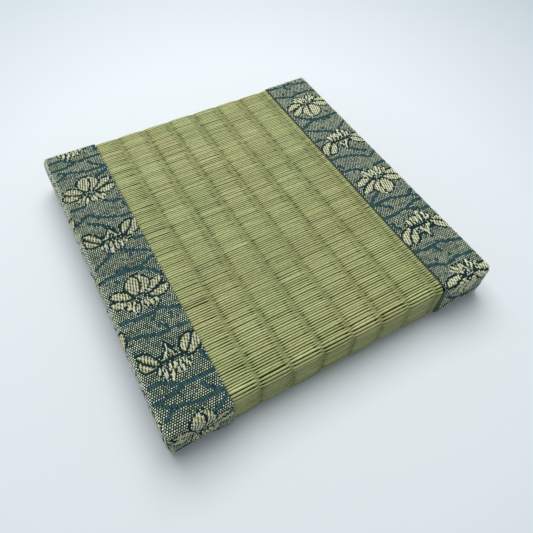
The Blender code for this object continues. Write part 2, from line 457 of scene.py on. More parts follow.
def makeRushBody():
    left = -mat["leftInner"] + rushBody["clothGap"]
    right = mat["rightInner"] - rushBody["clothGap"]
    front, back, top = rushBody["frontY"], rushBody["backY"], rushBody["topZ"]
    body = startBox("rushBody", (left, front, 0), (right, back, top))
    near = 0.00001

    def roundEdge(y, z, width, segments):
        def runsThere(edge):
            ends = [body.data.vertices[i].co for i in edge.vertices]
            return all(abs(end.y - y) < near and abs(end.z - z) < near for end in ends)

        selectOnly(body, "edges", runsThere)
        editSelected(body, lambda: bpy.ops.mesh.bevel(offset=width, segments=segments, affect="EDGES"))

    roundEdge(front, top, rushBody["frontTurn"], 6)
    roundEdge(back, top, rushBody["backTurn"], 4)
    roundEdge(front, 0, rushBody["foot"], 3)
    roundEdge(back, 0, rushBody["foot"], 3)

    # the sole runs on under both cloths, as far as their folded edges
    cutAcross(body, 2, [rushBody["soleTop"]])
    cutAcross(body, 1, [-rushBody["soleY"], rushBody["soleY"]])

    def stretchSole(edge, reach):
        def isSoleEnd(face):
            spot = face.center
            isLow = spot.z < rushBody["soleTop"] and abs(spot.y) < rushBody["soleY"]
            return isLow and abs(spot.x - edge) < near

        selectOnly(body, "polygons", isSoleEnd)
        step = {"value": (reach - edge, 0, 0)}
        editSelected(body, lambda: bpy.ops.mesh.extrude_region_move(TRANSFORM_OT_translate=step))

    soleX = mat["underEdge"] - rushBody["soleGap"]
    stretchSole(left, -soleX)
    stretchSole(right, soleX)
    cutAcross(body, 0, [mat["columnShift"] + mat["columnPitch"] * k for k in range(-3, 4)])
    # the board's faces carry the painted gap shade, its underside the rush back
    body.data.materials.append(rushGapShade)
    body.data.materials.append(rushBack)
    for face in body.data.polygons:
        isBelow = face.center.z < rushBody["soleTop"] and face.normal.z < 0.5
        face.material_index = int(isBelow and abs(face.normal.y) < 0.8)
    smooth(body, 35)
    finishPiece(body)
    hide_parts("mat_body")


makeRushBody()
print("rush body made")


# rush strands, each a float over one column
strand = {
    "height": 0.01925,  # of the weave at a column line
    "frontY": 0.0789,
    "backY": 0.0802,
    "frontRound": 0.0036,
    "backRound": 0.0016,
    "footZ": 0.0007,
    "turnPitch": 0.00145,  # over the front edge, where the strands spread
    "facePitch": 0.00125,
    "turnWide": 1.10,  # a strand's width there, as a part of its width on the top
    "faceWide": 1.12,
    "frontRelief": 0.55,  # and its height
    "backRelief": 0.6,
    "crown": 0.00045,  # how far a column swells between its lines
    "crownPower": 2.4,
    "thick": 0.00034,  # half a strand's height
    "proud": 0.00012,
    "overrun": 0.0016,  # how far a float goes on past its line, under its neighbours
    "unevenOverrun": 0.0006,
    "wander": 0.00005,
    "bow": 0.00004,
    "slant": 0.00005,
    "thinShare": 0.12,  # this share of the strands is thinner, by this factor
    "thinWide": 0.88,
    "unevenWidth": 0.065,
    "unevenHeight": 0.00004,
    "unevenBite": 0.65,  # of the warps into the strands
    "tone": 0.13,  # how much the tone differs from stalk to stalk
    "alikeTone": 0.6,  # the part of it that neighbours share
    "floatTone": 0.35,  # the part of it that differs from float to float
    "clothGap": 0.00015,
    "lowest": 0.0002,
    "leastRun": 0.0003,  # before the section's end, for a strand to be laid there
    "spreadFrom": 1.15,  # beyond so many times the usual distance, strands get wider
    "spreadShare": 0.25,  # by this part of the extra distance
    # painted light and shade: the tone that is taken off, by the distance from the front edge: darker in
    # front, lighter at the back
    "paintedFalloff": ([0.0, 0.03, 0.09, 0.15], [0.15, 0.0, 0.0, -0.10]),
}
# by the distance from a strand's line, in millimetres: its width, how much the warps pinch it on the right
# and on the left of the line, how far it dives, and how much painted shade darkens it where it dives under
# the next column
strandCuts = [-0.7, 0.3, 1.2, 2.2, 3.6]
strandWidth = ([-1.6, *strandCuts], [0.48, 0.60, 0.69, 0.85, 0.95, 0.97])
pinchRight = (strandCuts, [0.0, 0.08, 0.26, 0.09, 0.0])
pinchLeft = (strandCuts, [0.0, 0.02, 0.09, 0.18, 0.01])
strandDive = ([-1.9, -1.1, -0.7, 0.3], [-0.80, -0.42, -0.22, 0.0])
strandShade = ([-0.7, 0.3, 1.2], [1.0, 0.5, 0.0])


def rushSection():
    # places and outward directions along the facing's section, from the front's foot to the back's
    rows = [(-strand["frontY"], strand["footZ"], -1.0, 0.0)]

    def turn(centreY, radius, start, end):
        for angle in np.radians(np.linspace(start, end, 25)):
            out = (math.cos(angle), math.sin(angle))
            rows.append((centreY + out[0] * radius, strand["height"] - radius + out[1] * radius, *out))

    turn(-strand["frontY"] + strand["frontRound"], strand["frontRound"], 180, 90)
    turn(strand["backY"] - strand["backRound"], strand["backRound"], 90, 0)
    rows.append((strand["backY"], strand["footZ"], 1.0, 0.0))
    table = np.array(rows)
    steps = np.hypot(np.diff(table[:, 0]), np.diff(table[:, 1]))
    return np.concatenate([[0], np.cumsum(steps)]), table


sectionRun, sectionTable = rushSection()
faceRun = strand["height"] - strand["frontRound"] - strand["footZ"]
turnRun = strand["frontRound"] * math.pi / 2
topRun = strand["frontY"] + strand["backY"] - strand["frontRound"] - strand["backRound"]
backTurnRun = strand["backRound"] * math.pi / 2
backFaceRun = strand["height"] - strand["backRound"] - strand["footZ"]
topStart = faceRun + turnRun
topEnd = topStart + topRun


def crownAt(x):
    across = (x - mat["columnShift"]) / mat["columnPitch"]
    fromMiddle = np.abs(across - np.floor(across) - 0.5) * 2
    return 1 - fromMiddle ** strand["crownPower"]


def rushPlace(x, run, out):
    y, z, ny, nz = (np.interp(run, sectionRun, sectionTable[:, k]) for k in range(4))
    length = np.hypot(ny, nz)
    out = out + strand["crown"] * crownAt(x)
    return np.stack([x, y + ny / length * out, z + nz / length * out], axis=-1)


def makeStrandShape():
    # a lying rod, one unit long, cut where its width changes
    rod = addNew(bpy.ops.mesh.primitive_cylinder_add, vertices=6, radius=1, depth=1, end_fill_type="NGON",
                 rotation=(0, 0, math.pi / 2))
    settle(rod)
    rod.rotation_euler = (0, math.pi / 2, 0)
    settle(rod)
    whole = (mat["columnPitch"] + 2 * strand["overrun"]) * 1000
    near = [(cut + strand["overrun"] * 1000) / whole - 0.5 for cut in strandCuts]
    cutAcross(rod, 0, near + [-place for place in near])
    return takeTemplate(rod)


strandPoints, strandFaces = makeStrandShape()


def rowRuns():
    # places of the strands along the section, with their pitch, width and height, for even columns
    rows, run = [], strand["facePitch"] / 2
    while run < faceRun:
        rows.append((run, strand["facePitch"], strand["faceWide"], strand["frontRelief"]))
        run += strand["facePitch"]

    def addRows(start, length, count, wide, relief):
        for k in range(count):
            rows.append((start + length * (k + 0.5) / count, length / count, wide, relief))

    addRows(faceRun, turnRun, round(turnRun / strand["turnPitch"]), strand["turnWide"], 1.0)
    addRows(topStart, topRun, round(topRun / mat["strandPitch"]), 1.0, 1.0)
    addRows(topEnd, backTurnRun, max(2, round(backTurnRun / strand["facePitch"])), 1.0, 1.0)
    addRows(topEnd + backTurnRun, backFaceRun, round(backFaceRun / strand["facePitch"]),
            strand["faceWide"], strand["backRelief"])
    return np.array(rows)


def makeStrands():
    rows = rowRuns()
    left = -mat["leftInner"] + strand["clothGap"]
    right = mat["rightInner"] - strand["clothGap"]
    near = 0.0002
    stalks = len(rows) + 2
    # one stalk shows in every other column, so its tone comes back there
    stalkTone = chance.normal(0.0, 1.0, (2, stalks))
    for tones in stalkTone:
        alike = np.convolve(chance.normal(0, 1, stalks + 8), np.ones(9) / 3, "valid")
        tones += strand["alikeTone"] * alike[:stalks]
    groups = {"rushTop": [], "rushEdges": []}
    for column in range(-4, 4):
        lineLow = mat["columnShift"] + mat["columnPitch"] * column
        lineHigh = lineLow + mat["columnPitch"]
        start = max(lineLow - strand["overrun"], left)
        end = min(lineHigh + strand["overrun"], right)
        odd = column % 2
        run = rows[:, 0] + (rows[:, 1] / 2 if odd else 0.0)
        keep = run < sectionRun[-1] - strand["leastRun"]
        run, pitch, widthPart, relief = run[keep], rows[keep, 1], rows[keep, 2], rows[keep, 3]
        count = len(run)
        run = run + chance.normal(0, strand["wander"], count)
        thin = np.where(chance.random(count) < strand["thinShare"], strand["thinWide"], 1.0)
        width = widthPart * thin * (1 + chance.normal(0, strand["unevenWidth"], count))
        lift = chance.normal(0, strand["unevenHeight"], count)
        bow = chance.normal(0, strand["bow"], count)
        slant = chance.normal(0, strand["slant"], count)
        tone = stalkTone[odd, :count] + chance.normal(0, strand["floatTone"], count)
        # painted light and shade: darker in front, lighter at the back
        paintedFalloff = np.interp(run - topStart, *strand["paintedFalloff"])
        tone = np.clip(0.5 + strand["tone"] * tone - paintedFalloff, 0.0, 1.0)

        xs = np.tile(start + (strandPoints[:, 0] + 0.5) * (end - start), (count, 1))
        for sign, free in ((-1, start > left), (1, end < right)):
            tip = strandPoints[:, 0] * sign > 0.499
            shift = chance.uniform(-1, 1, count)[:, None] * strand["unevenOverrun"] * free
            xs[:, tip] += shift
        fromLeft, fromRight = (xs - lineLow) * 1000, (lineHigh - xs) * 1000
        bites = np.clip(chance.normal(1.0, strand["unevenBite"], (2, count, 1)), 0.0, 2.4)
        wideLeft = np.interp(fromLeft, *strandWidth) - bites[0] * np.interp(fromLeft, *pinchRight)
        wideRight = np.interp(fromRight, *strandWidth) - bites[1] * np.interp(fromRight, *pinchLeft)
        wide = np.minimum(wideLeft, wideRight) / 1000
        dive = np.minimum(np.interp(fromLeft, *strandDive), np.interp(fromRight, *strandDive)) / 1000
        shade = np.interp(np.minimum(fromLeft, fromRight), *strandShade)
        middle = (xs - (lineLow + lineHigh) / 2) / mat["columnPitch"] * 2
        spread = (pitch / mat["strandPitch"])[:, None]
        widened = 1.0 + (spread - 1.0) * strand["spreadShare"]
        spread = np.where(spread > strand["spreadFrom"], widened, spread)
        across = strandPoints[:, 1][None, :] * wide / 2 * width[:, None] * spread
        runs = run[:, None] + across + bow[:, None] * (1 - middle ** 2) + slant[:, None] * middle
        thick = strand["thick"] * relief[:, None]
        out = (strandPoints[:, 2][None, :] - 1.0) * thick + strand["proud"] + dive + lift[:, None]
        points = rushPlace(xs, runs, out)
        points[..., 2] = np.maximum(points[..., 2], strand["lowest"])
        marks = {
            "strandTone": np.repeat(tone[:, None], xs.shape[1], axis=1),
            # painted shade where the strand dives under the next column
            "diveShade": shade,
            # painted shade on the strand's lower sides
            "flankShade": np.tile((1.0 - strandPoints[:, 2]).clip(0.0, 1.0), (count, 1)),
        }
        onTop = (run > topStart - near) & (run < topEnd + near)
        for name, chosen in (("rushTop", onTop), ("rushEdges", ~onTop)):
            picked = {mark: values[chosen] for mark, values in marks.items()}
            groups[name].append((points[chosen], strandFaces, np.zeros(chosen.sum(), int), picked))
    for name, parts in groups.items():
        joinCopies(name, parts, [rushMaterial])


makeStrands()
print("rush strands laid")


# brocade borders: a strip of cloth folded over each side of the board
border = {
    "round": 0.0022,
    "turnCuts": 5,  # across each half of a rounded edge
    "acrossCuts": 10,
    "alongCuts": 48,
    "sideCuts": 8,
    "thick": 0.0012,
    "sideBulge": 0.0008,
    "endBulge": 0.0003,
    "crown": 0.0003,
    "wave": 0.0001,
    "waveLength": 0.061,
    "sink": 0.00012,  # the cloth's ground lies this far below its yarns
    "edgeNear": 0.0003,  # how near to the inner edge a face is part of it
    "lowest": 0.00002,  # nothing of a border lies below this
}
halfX = mat["width"] / 2 - border["sideBulge"]
halfY = mat["depth"] / 2 - border["endBulge"]
bend = border["round"]
quarter = bend * math.pi / 4  # the way over half a rounded edge
high = mat["height"]
flatY = halfY - bend


def foldedPlace(point, inner, out):
    # from a plain box's surface to the same box with rounded, swollen edges, and out along its normal
    x, y, z = (point[..., k] for k in range(3))
    core = np.stack([np.maximum(x, bend - halfX), np.clip(y, -flatY, flatY),
                     np.clip(z, bend, high - bend)], axis=-1)
    away = point - core
    normal = away / np.maximum(np.linalg.norm(away, axis=-1, keepdims=True), 1e-9)
    shaped = core + normal * bend
    x, y, z = (shaped[..., k] for k in range(3))
    up = z / high
    swell = 4 * up * (1 - up)
    outer = np.maximum(0.0, (np.abs(x) - halfX + bend) / bend)
    end = np.maximum(0.0, (np.abs(y) - halfY + bend) / bend)
    across = (halfX - np.abs(x)) / (halfX - inner)
    slow = border["wave"] * 0.5 * (1 - np.cos(2 * math.pi * y / border["waveLength"]))
    fall = (border["crown"] * across ** 2 + slow) * np.maximum(up - 0.5, 0.0) * 2
    x -= border["sideBulge"] * swell * outer
    y += np.sign(y) * border["endBulge"] * swell * end
    z -= fall
    shaped += normal * out[..., None]
    z[...] = np.maximum(z, border["lowest"])
    return shaped


def roundCuts(edge, inward):
    steps = border["turnCuts"]
    return [edge + inward * bend * (1 - math.tan(math.pi / 4 * i / steps)) for i in range(1, steps)]


def makeBorderCloth(name, side, inner, node):
    cloth = startBox(name, (-halfX, -halfY, 0), (-inner, halfY, high))
    flatCuts = evenPlaces(bend - halfX, -inner, border["acrossCuts"])[:-1]
    cutAcross(cloth, 0, roundCuts(-halfX, 1) + flatCuts + [-mat["underEdge"]])
    cutAcross(cloth, 1, roundCuts(-halfY, 1) + roundCuts(halfY, -1))
    cutAcross(cloth, 1, evenPlaces(-flatY, flatY, border["alongCuts"]))
    cutAcross(cloth, 2, roundCuts(0, 1) + roundCuts(high, -1))
    cutAcross(cloth, 2, evenPlaces(bend, high - bend, border["sideCuts"]))

    def isOpen(face):
        # against the board, inside and underneath
        spot = face.center
        inside = spot.x > -inner - border["lowest"] and abs(face.normal.x) > 0.5
        below = spot.z < border["lowest"] and spot.x > -mat["underEdge"] and abs(spot.y) < flatY
        return inside or below

    selectOnly(cloth, "polygons", isOpen)
    editSelected(cloth, lambda: bpy.ops.mesh.delete(type="FACE"))
    points = pointsOf(cloth)
    points = foldedPlace(points, inner, np.full(len(points), -border["sink"]))
    if side > 0:
        points[:, :2] *= -1
    cloth.data.vertices.foreach_set("co", points.astype(np.float32).ravel())
    cloth.data.update()
    wall = cloth.modifiers.new("cloth", "SOLIDIFY")
    wall.thickness = border["thick"] - border["sink"]
    wall.offset = -1
    wall.use_even_offset = True
    pickOnly(cloth)
    bpy.ops.object.modifier_apply(modifier=wall.name)
    cloth.data.materials.append(clothGround)
    cloth.data.materials.append(clothEdge)
    for face in cloth.data.polygons:
        isEdge = abs(face.center.x) < inner + border["edgeNear"] and abs(face.normal.x) > 0.5
        face.material_index = int(isEdge)
    smooth(cloth, 45)
    finishPiece(cloth)
    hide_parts(node)
    return cloth


leftCloth = makeBorderCloth("borderClothLeft", -1, mat["leftInner"], "border_left")
rightCloth = makeBorderCloth("borderClothRight", 1, mat["rightInner"], "border_right")
print("border cloths folded")


# the brocade's figure, in millimetres on the unrolled cloth, repeated along the strip
figure = {
    "repeat": 134.8,
    "repeatStarts": -82.0,
    "flowerStep": 67.4,
    "sideStep": (-26.3, 13.0),  # from one lane of flowers to the next, across the cloth
    "laneStarts": -77.4,
    "laneEnds": (-50.0, -52.9, -52.9),
    "waveHalf": 0.82,
    "dropHalf": 0.95,
    "hollowRim": 0.5,
    "fineUnder": 1.2,  # narrower petals are woven more closely
    "fineOver": 4,  # and so are wider ones
    "rightShift": (2.0, 34.9),  # the right strip is cut from another place of the cloth
}


def smallPetals(*petals):
    # those below a flower all have the same outline and are as blunt
    return [(*petal, 0.42, 0.6) for petal in petals]


# petals from the flower's heart: foot, tip, half width, bow, outline, and how blunt they are (below 0: a
# spire with hollow sides, widest at its foot); later ones lie over earlier ones
openFlower = smallPetals(
    (-4.4, -1.4, -6.1, -5.7, 1.05, 0.2), (-2.0, -1.8, -4.1, -7.0, 0.95, 0.1),
    (-0.9, -3.2, -2.9, -8.2, 0.75, 0.0), (0.0, -1.6, 1.2, -7.7, 0.85, 0.1),
    (1.6, -2.4, 2.6, -7.9, 0.65, 0.0), (2.7, -1.8, 5.8, -8.3, 0.95, 0.0), (5.2, -2.8, 7.2, -6.3, 0.80, -0.2),
) + [
    (-4.0, -1.5, -11.7, 0.4, 2.0, 0.7, 0.8, 0.6), (4.5, -2.0, 13.6, 0.2, 1.8, -0.8, 0.8, 0.6),
    (-2.2, -0.3, -10.6, 4.2, 1.9, -0.6, 0.8, 0.7), (3.0, -0.5, 12.8, 5.2, 1.9, 0.7, 0.8, 0.7),
    (0.8, 0.3, 3.0, 10.6, 3.2, -1.5, 0.8, 0.7), (-0.3, 0.2, 0.9, 10.4, 2.9, 0.9, 0.85, 0.75),
]
spreadFlower = smallPetals(
    (-5.2, -1.2, -5.5, -4.9, 0.95, 0.0), (-3.6, -0.9, -4.1, -7.0, 0.85, 0.0),
    (-1.2, -0.7, -2.2, -8.7, 0.90, 0.3), (0.8, -0.7, 1.2, -6.9, 1.00, 0.0),
    (2.9, -0.9, 3.2, -7.0, 0.75, 0.0), (4.6, -0.8, 6.0, -6.0, 0.85, -0.1), (6.0, -0.4, 7.8, -3.3, 0.80, -0.2),
) + [
    (0.2, 0.6, 0.7, 7.5, 4.2, 0.0, 0.85, -1.8),
    (-6.0, -0.8, -11.5, 3.9, 1.7, 1.1, 0.8, 0.6), (7.0, -1.0, 13.4, 7.2, 1.9, -1.4, 0.9, 0.6),
    (2.9, 0.5, 6.8, 3.4, 0.75, -0.5, 0.3, 0.5),
    (-4.6, -0.1, -11.0, 7.1, 1.5, -0.3, 0.9, 0.7), (5.6, 0.6, 10.8, 7.9, 1.75, 0.5, 0.9, 0.7),
]
# the hollows inside some petals, and dark shades beside them: foot, tip, half width, bow, how blunt
spreadHollows = [(0.2, -0.3, 0.5, 3.3, 1.25, 0.0, 0.8)]
spreadShades = [
    (-5.2, 3.5, -1.2, 3.2, 0.75, -0.5, 0.8), (1.5, 6.2, 4.2, 3.9, 0.5, -0.4, 0.8),
    (3.4, 4.0, 7.0, 5.3, 0.55, -0.3, 0.8),
]
flowers = [  # petals, hollows, shades and heart
    (openFlower, [], [], (-65.0, -20.4)),
    (spreadFlower, spreadHollows, spreadShades, (-64.4, 13.8)),
]
waves = [
    [(-77, -7.5), (-70, -6.3), (-62, -6.8), (-57, -5.8), (-51, -3.2)],
    [(-68.2, -5.8), (-67.5, -4.6), (-66.2, -5.6), (-65, -4.4), (-63.8, -6)],
    [(-62, -6.8), (-57, -9), (-52.5, -13.5)],
    [(-76, 0.5), (-73, 2), (-69, 4.5), (-67, 6.5)],
    [(-64.5, 8), (-61.5, 4.8), (-59.5, 3.5), (-55, 1.5), (-51, -1)],
    [(-57, 11), (-54, 9), (-51, 9.5)],
    [(-76, -29.7), (-70, -30.8), (-64, -31), (-59, -30), (-56, -31.5), (-51, -33.5)],
    [(-76.5, -38), (-72, -38.8), (-67, -40.3), (-64, -41.5), (-58, -41), (-51, -42)],
    [(-62, -37), (-60, -39.5)],
    [(-76, -61), (-71, -61), (-67, -63.5), (-63, -65), (-57, -64.8), (-51, -64.8)],
    [(-76.5, -67.5), (-70, -67), (-66, -66), (-64, -65)],
    [(-74, -69.5), (-71, -71), (-66, -72.5), (-60, -74), (-51, -73.8)],
    [(-75.5, -75), (-72, -73), (-70, -71.5)],
    [(-58, -68), (-55.5, -71), (-52, -73.5)],
    [(-58.5, -80), (-54, -78), (-51, -75.5)],
    [(-53, -55.5), (-51.5, -60.5)],
    [(-76, 37.5), (-72, 38.2), (-69, 37.8)],
    [(-60, 38), (-57, 36), (-51, 34.8)],
    [(-76, 28), (-72, 30.8), (-70, 31.5), (-69, 31.5), (-66, 29), (-62, 27), (-58, 25.5), (-51, 24.5)],
    [(-70.5, 27), (-67.5, 24.5), (-64.5, 21.8)],
    [(-52.5, 32.5), (-51.5, 30)],
]
drops = [(-70.2, -10), (-60, 1), (-63.5, -33.7), (-56.3, -34.3)]


def wavePath(points):
    # a smooth line through a wave's points
    points = np.array(points, float)
    ends = np.vstack([2 * points[0] - points[1], points, 2 * points[-1] - points[-2]])
    path = []
    for k in range(len(points) - 1):
        a, b, c, d = ends[k:k + 4]
        bowed = 2 * a - 5 * b + 4 * c - d
        twisted = 3 * b - a - 3 * c + d
        for t in np.linspace(0, 1, 7)[:-1]:
            path.append(0.5 * (2 * b + (c - a) * t + bowed * t ** 2 + twisted * t ** 3))
    return np.array(path + [points[-1]])


def nearPath(px, py, path):
    best = np.full(np.broadcast(px, py).shape, 1e9)
    for (ax, ay), (bx, by) in zip(path, path[1:]):
        dx, dy = bx - ax, by - ay
        t = np.clip(((px - ax) * dx + (py - ay) * dy) / max(dx * dx + dy * dy, 1e-9), 0, 1)
        best = np.minimum(best, np.hypot(px - ax - t * dx, py - ay - t * dy))
    return best


def petalEdge(px, py, footX, footY, tipX, tipY, halfWidth, bow, blunt):
    # distance in from (below 0) or out from a petal's edge
    dx, dy = tipX - footX, tipY - footY
    length = math.hypot(dx, dy)
    along = ((px - footX) * dx + (py - footY) * dy) / length ** 2
    across = ((py - footY) * dx - (px - footX) * dy) / length
    t = np.clip(along, 0, 1)
    across = across - bow * np.sin(math.pi * t)
    if blunt < 0:
        wide = np.maximum(halfWidth * (1 - t) ** -blunt, 0.3)
    else:
        skewed = t ** 1.15
        wide = halfWidth * (4 * skewed * (1 - skewed)) ** blunt
    beyond = np.maximum(np.maximum(-along, along - 1), 0) * length
    aside = np.abs(across) - wide
    return np.where(beyond > 0, np.hypot(np.maximum(aside, 0), beyond), aside)


groundCode, petalCode, outlineCode, waveCode, fineCode = range(5)


def chartFigure(px, py):
    # what lies at each place of the unrolled cloth
    chart = np.zeros(np.broadcast(px, py).shape, int)
    period, step, first = figure["repeat"], figure["flowerStep"], figure["repeatStarts"]
    lanes = [(figure["sideStep"][0] * k, figure["sideStep"][1] * k) for k in range(3)]
    for (laneX, laneY), laneEnd in zip(lanes, figure["laneEnds"]):
        x = px - laneX
        inLane = (x > figure["laneStarts"]) & (x < laneEnd)
        local = (py - laneY - first) % period + first
        for points in waves:
            path = wavePath(points)
            for turn in (0.0, period, -period):
                close = nearPath(x, local + turn, path)
                chart = np.where(inLane & (close < figure["waveHalf"]), waveCode, chart)
        for dropX, dropY in drops:
            close = np.hypot(x - dropX, local - dropY)
            chart = np.where(inLane & (close < figure["dropHalf"]), waveCode, chart)
    for laneX, laneY in lanes:
        for petals, hollows, shades, (heartX, heartY) in flowers:
            x = px - laneX - heartX
            y = (py - laneY - heartY + step / 2) % step - step / 2
            for shade in shades:
                chart = np.where(petalEdge(x, y, *shade) < 0, outlineCode, chart)
            for *shape, outline, blunt in petals:
                edge = petalEdge(x, y, *shape, blunt)
                usual = figure["fineUnder"] < shape[4] < figure["fineOver"]
                chart = np.where(edge < outline, outlineCode, chart)
                chart = np.where(edge < 0, petalCode if usual else fineCode, chart)
            for hollow in hollows:
                edge = petalEdge(x, y, *hollow)
                chart = np.where(edge < 0, outlineCode, chart)
                chart = np.where(edge < -figure["hollowRim"], groundCode, chart)
    return chart


# yarn floats on the cloth; where two values are given, -1 is the left strip and 1 the right
yarn = {
    "top": 0.00020,  # how far a float stands out, and how far down its foot goes
    "bottom": -0.00020,
    "wander": 0.000012,
    "tipLong": 0.25,  # of a pick
    "tipDrop": 0.15,
    "dotWide": {-1: 0.00048, 1: 0.00051},
    "dotLong": 0.66,  # of a pick
    "dotLean": 0.00016,
    "dotShoulder": 0.72,
    "dotTop": 0.00042,
    "sideDotTop": 0.00024,
    "flapDotTop": 0.00014,
    # the right strip's dots are painted lighter than the left's, as painted light
    "dotTone": {-1: 0.90, 1: 1.06},
    "dotUneven": 0.42,  # in tone, from dot to dot and from pick to pick
    "pickUneven": 0.26,
    "sizeUneven": 0.12,
    "sidePaintedShade": 0.30,  # how much duller the sides' dots are painted, as painted shade
    "rollWidthAndLight": {-1: 0.45, 1: 0.0},  # how much wider the dots are over the outer roll, and how much lighter they are painted there, as painted light
    "rollReach": ([0.0005, 0.0015], [1.0, 0.0]),
    "yellowEvery": 2,  # so many warps, and on the sides; the sides' fewer yellow dots are painted sheen
    "sideYellowEvery": 6,
    "petalWide": 0.00050,
    "petalLong": 0.98,  # of its picks
    "petalMore": -0.00007,  # how far it runs on past them; below 0 it stops short
    "petalLean": 0.00006,
    "petalShoulder": 0.76,
    "petalTop": 0.00023,
    "flapPetalTop": 0.00026,
    # the right strip's petals are painted lighter than the left's, as painted light
    "petalTone": {-1: 0.66, 1: 0.96},
    "flapPetalPaintedLight": 0.25,  # painted light added to the petals on the end flaps, which are in shade
    "petalUneven": 0.16,
    "waveWide": 0.00085,
    "waveLong": 0.00092,
    "waveTop": 0.6,  # of the usual top
    "outlineWide": 1.1,  # of a wave's
    "outlineLong": 1.15,  # of a warp
    "outlineTop": 0.2,  # of the usual top
}


def wrapFull(run, flat):
    # how far across and how far down a place of the cloth lies, on the plain box that it is folded round
    angles = np.radians(np.arange(0, 91))
    first = angles <= math.pi / 4 + 1e-6
    rise = bend * np.tan(np.minimum(angles, math.pi / 4))
    rest = np.tan(math.pi / 2 - np.maximum(angles, math.pi / 4))
    run1 = flat + bend * angles
    across1 = np.where(first, flat + rise, flat + bend)
    down1 = np.where(first, 0.0, bend * (1 - rest))
    run2 = run1[-1] + high - 2 * bend + bend * angles
    across2 = np.where(first, flat + bend, flat + bend * rest)
    down2 = np.where(first, high - bend + rise, high)
    runs = np.concatenate([[-1.0], run1, run2, [run2[-1] + flat]])
    return (np.interp(run, runs, np.concatenate([[-1.0], across1, across2, [0.0]])),
            np.interp(run, runs, np.concatenate([[0.0], down1, down2, [high]])))


def wrapTop(run, flat):
    angle = np.clip((run - flat) / bend, 0.0, 1.05)
    return np.minimum(run, flat) + bend * np.tan(angle)


def clothPlace(onTop, a, b, out, inner):
    # a runs outward from the inner edge, b along the strip; onTop also takes in the two end flaps
    flatX = halfX - bend - inner
    if onTop:
        x = wrapTop(a, flatX)
        y, down = wrapFull(np.abs(b), flatY)
    else:
        x, down = wrapFull(a, flatX)
        y = wrapTop(np.abs(b), flatY)
    point = np.stack([-inner - x, y * np.sign(b), high - down], axis=-1)
    return foldedPlace(point, inner, out)


def makeGrainShape(picks):
    # a float over some picks: a four-sided rod with pointed ends, along Y, one unit to a pick
    length = picks - 2 * yarn["tipLong"]
    grain = addNew(bpy.ops.mesh.primitive_cylinder_add, vertices=4, radius=0.5, depth=length,
                   end_fill_type="TRIFAN", rotation=(math.pi / 2, 0, 0))
    settle(grain)
    for sign in (-1, 1):
        selectOnly(grain, "vertices", lambda point: point.co.y * sign > 0 and point.co.xz.length < 0.01)
        step = (0, sign * yarn["tipLong"], -yarn["tipDrop"])
        editSelected(grain, lambda: bpy.ops.transform.translate(value=step))
    cutAcross(grain, 1, evenPlaces(-length / 2, length / 2, picks)[1:-1])
    return takeTemplate(grain)


grainShapes = {picks: makeGrainShape(picks) for picks in (1, 2, 3, 4)}


def findRuns(wanted):
    # the floats of up to four picks that cover the wanted places: (warp, middle pick) by their length
    runs = {length: [] for length in grainShapes}
    for row, places in enumerate(wanted):
        column = 0
        while column < len(places):
            if not places[column]:
                column += 1
                continue
            length = 1
            while length < max(runs) and column + length < len(places) and places[column + length]:
                length += 1
            runs[length].append((row, column + (length - 1) / 2))
            column += length
    return {length: np.array(found) for length, found in runs.items() if found}


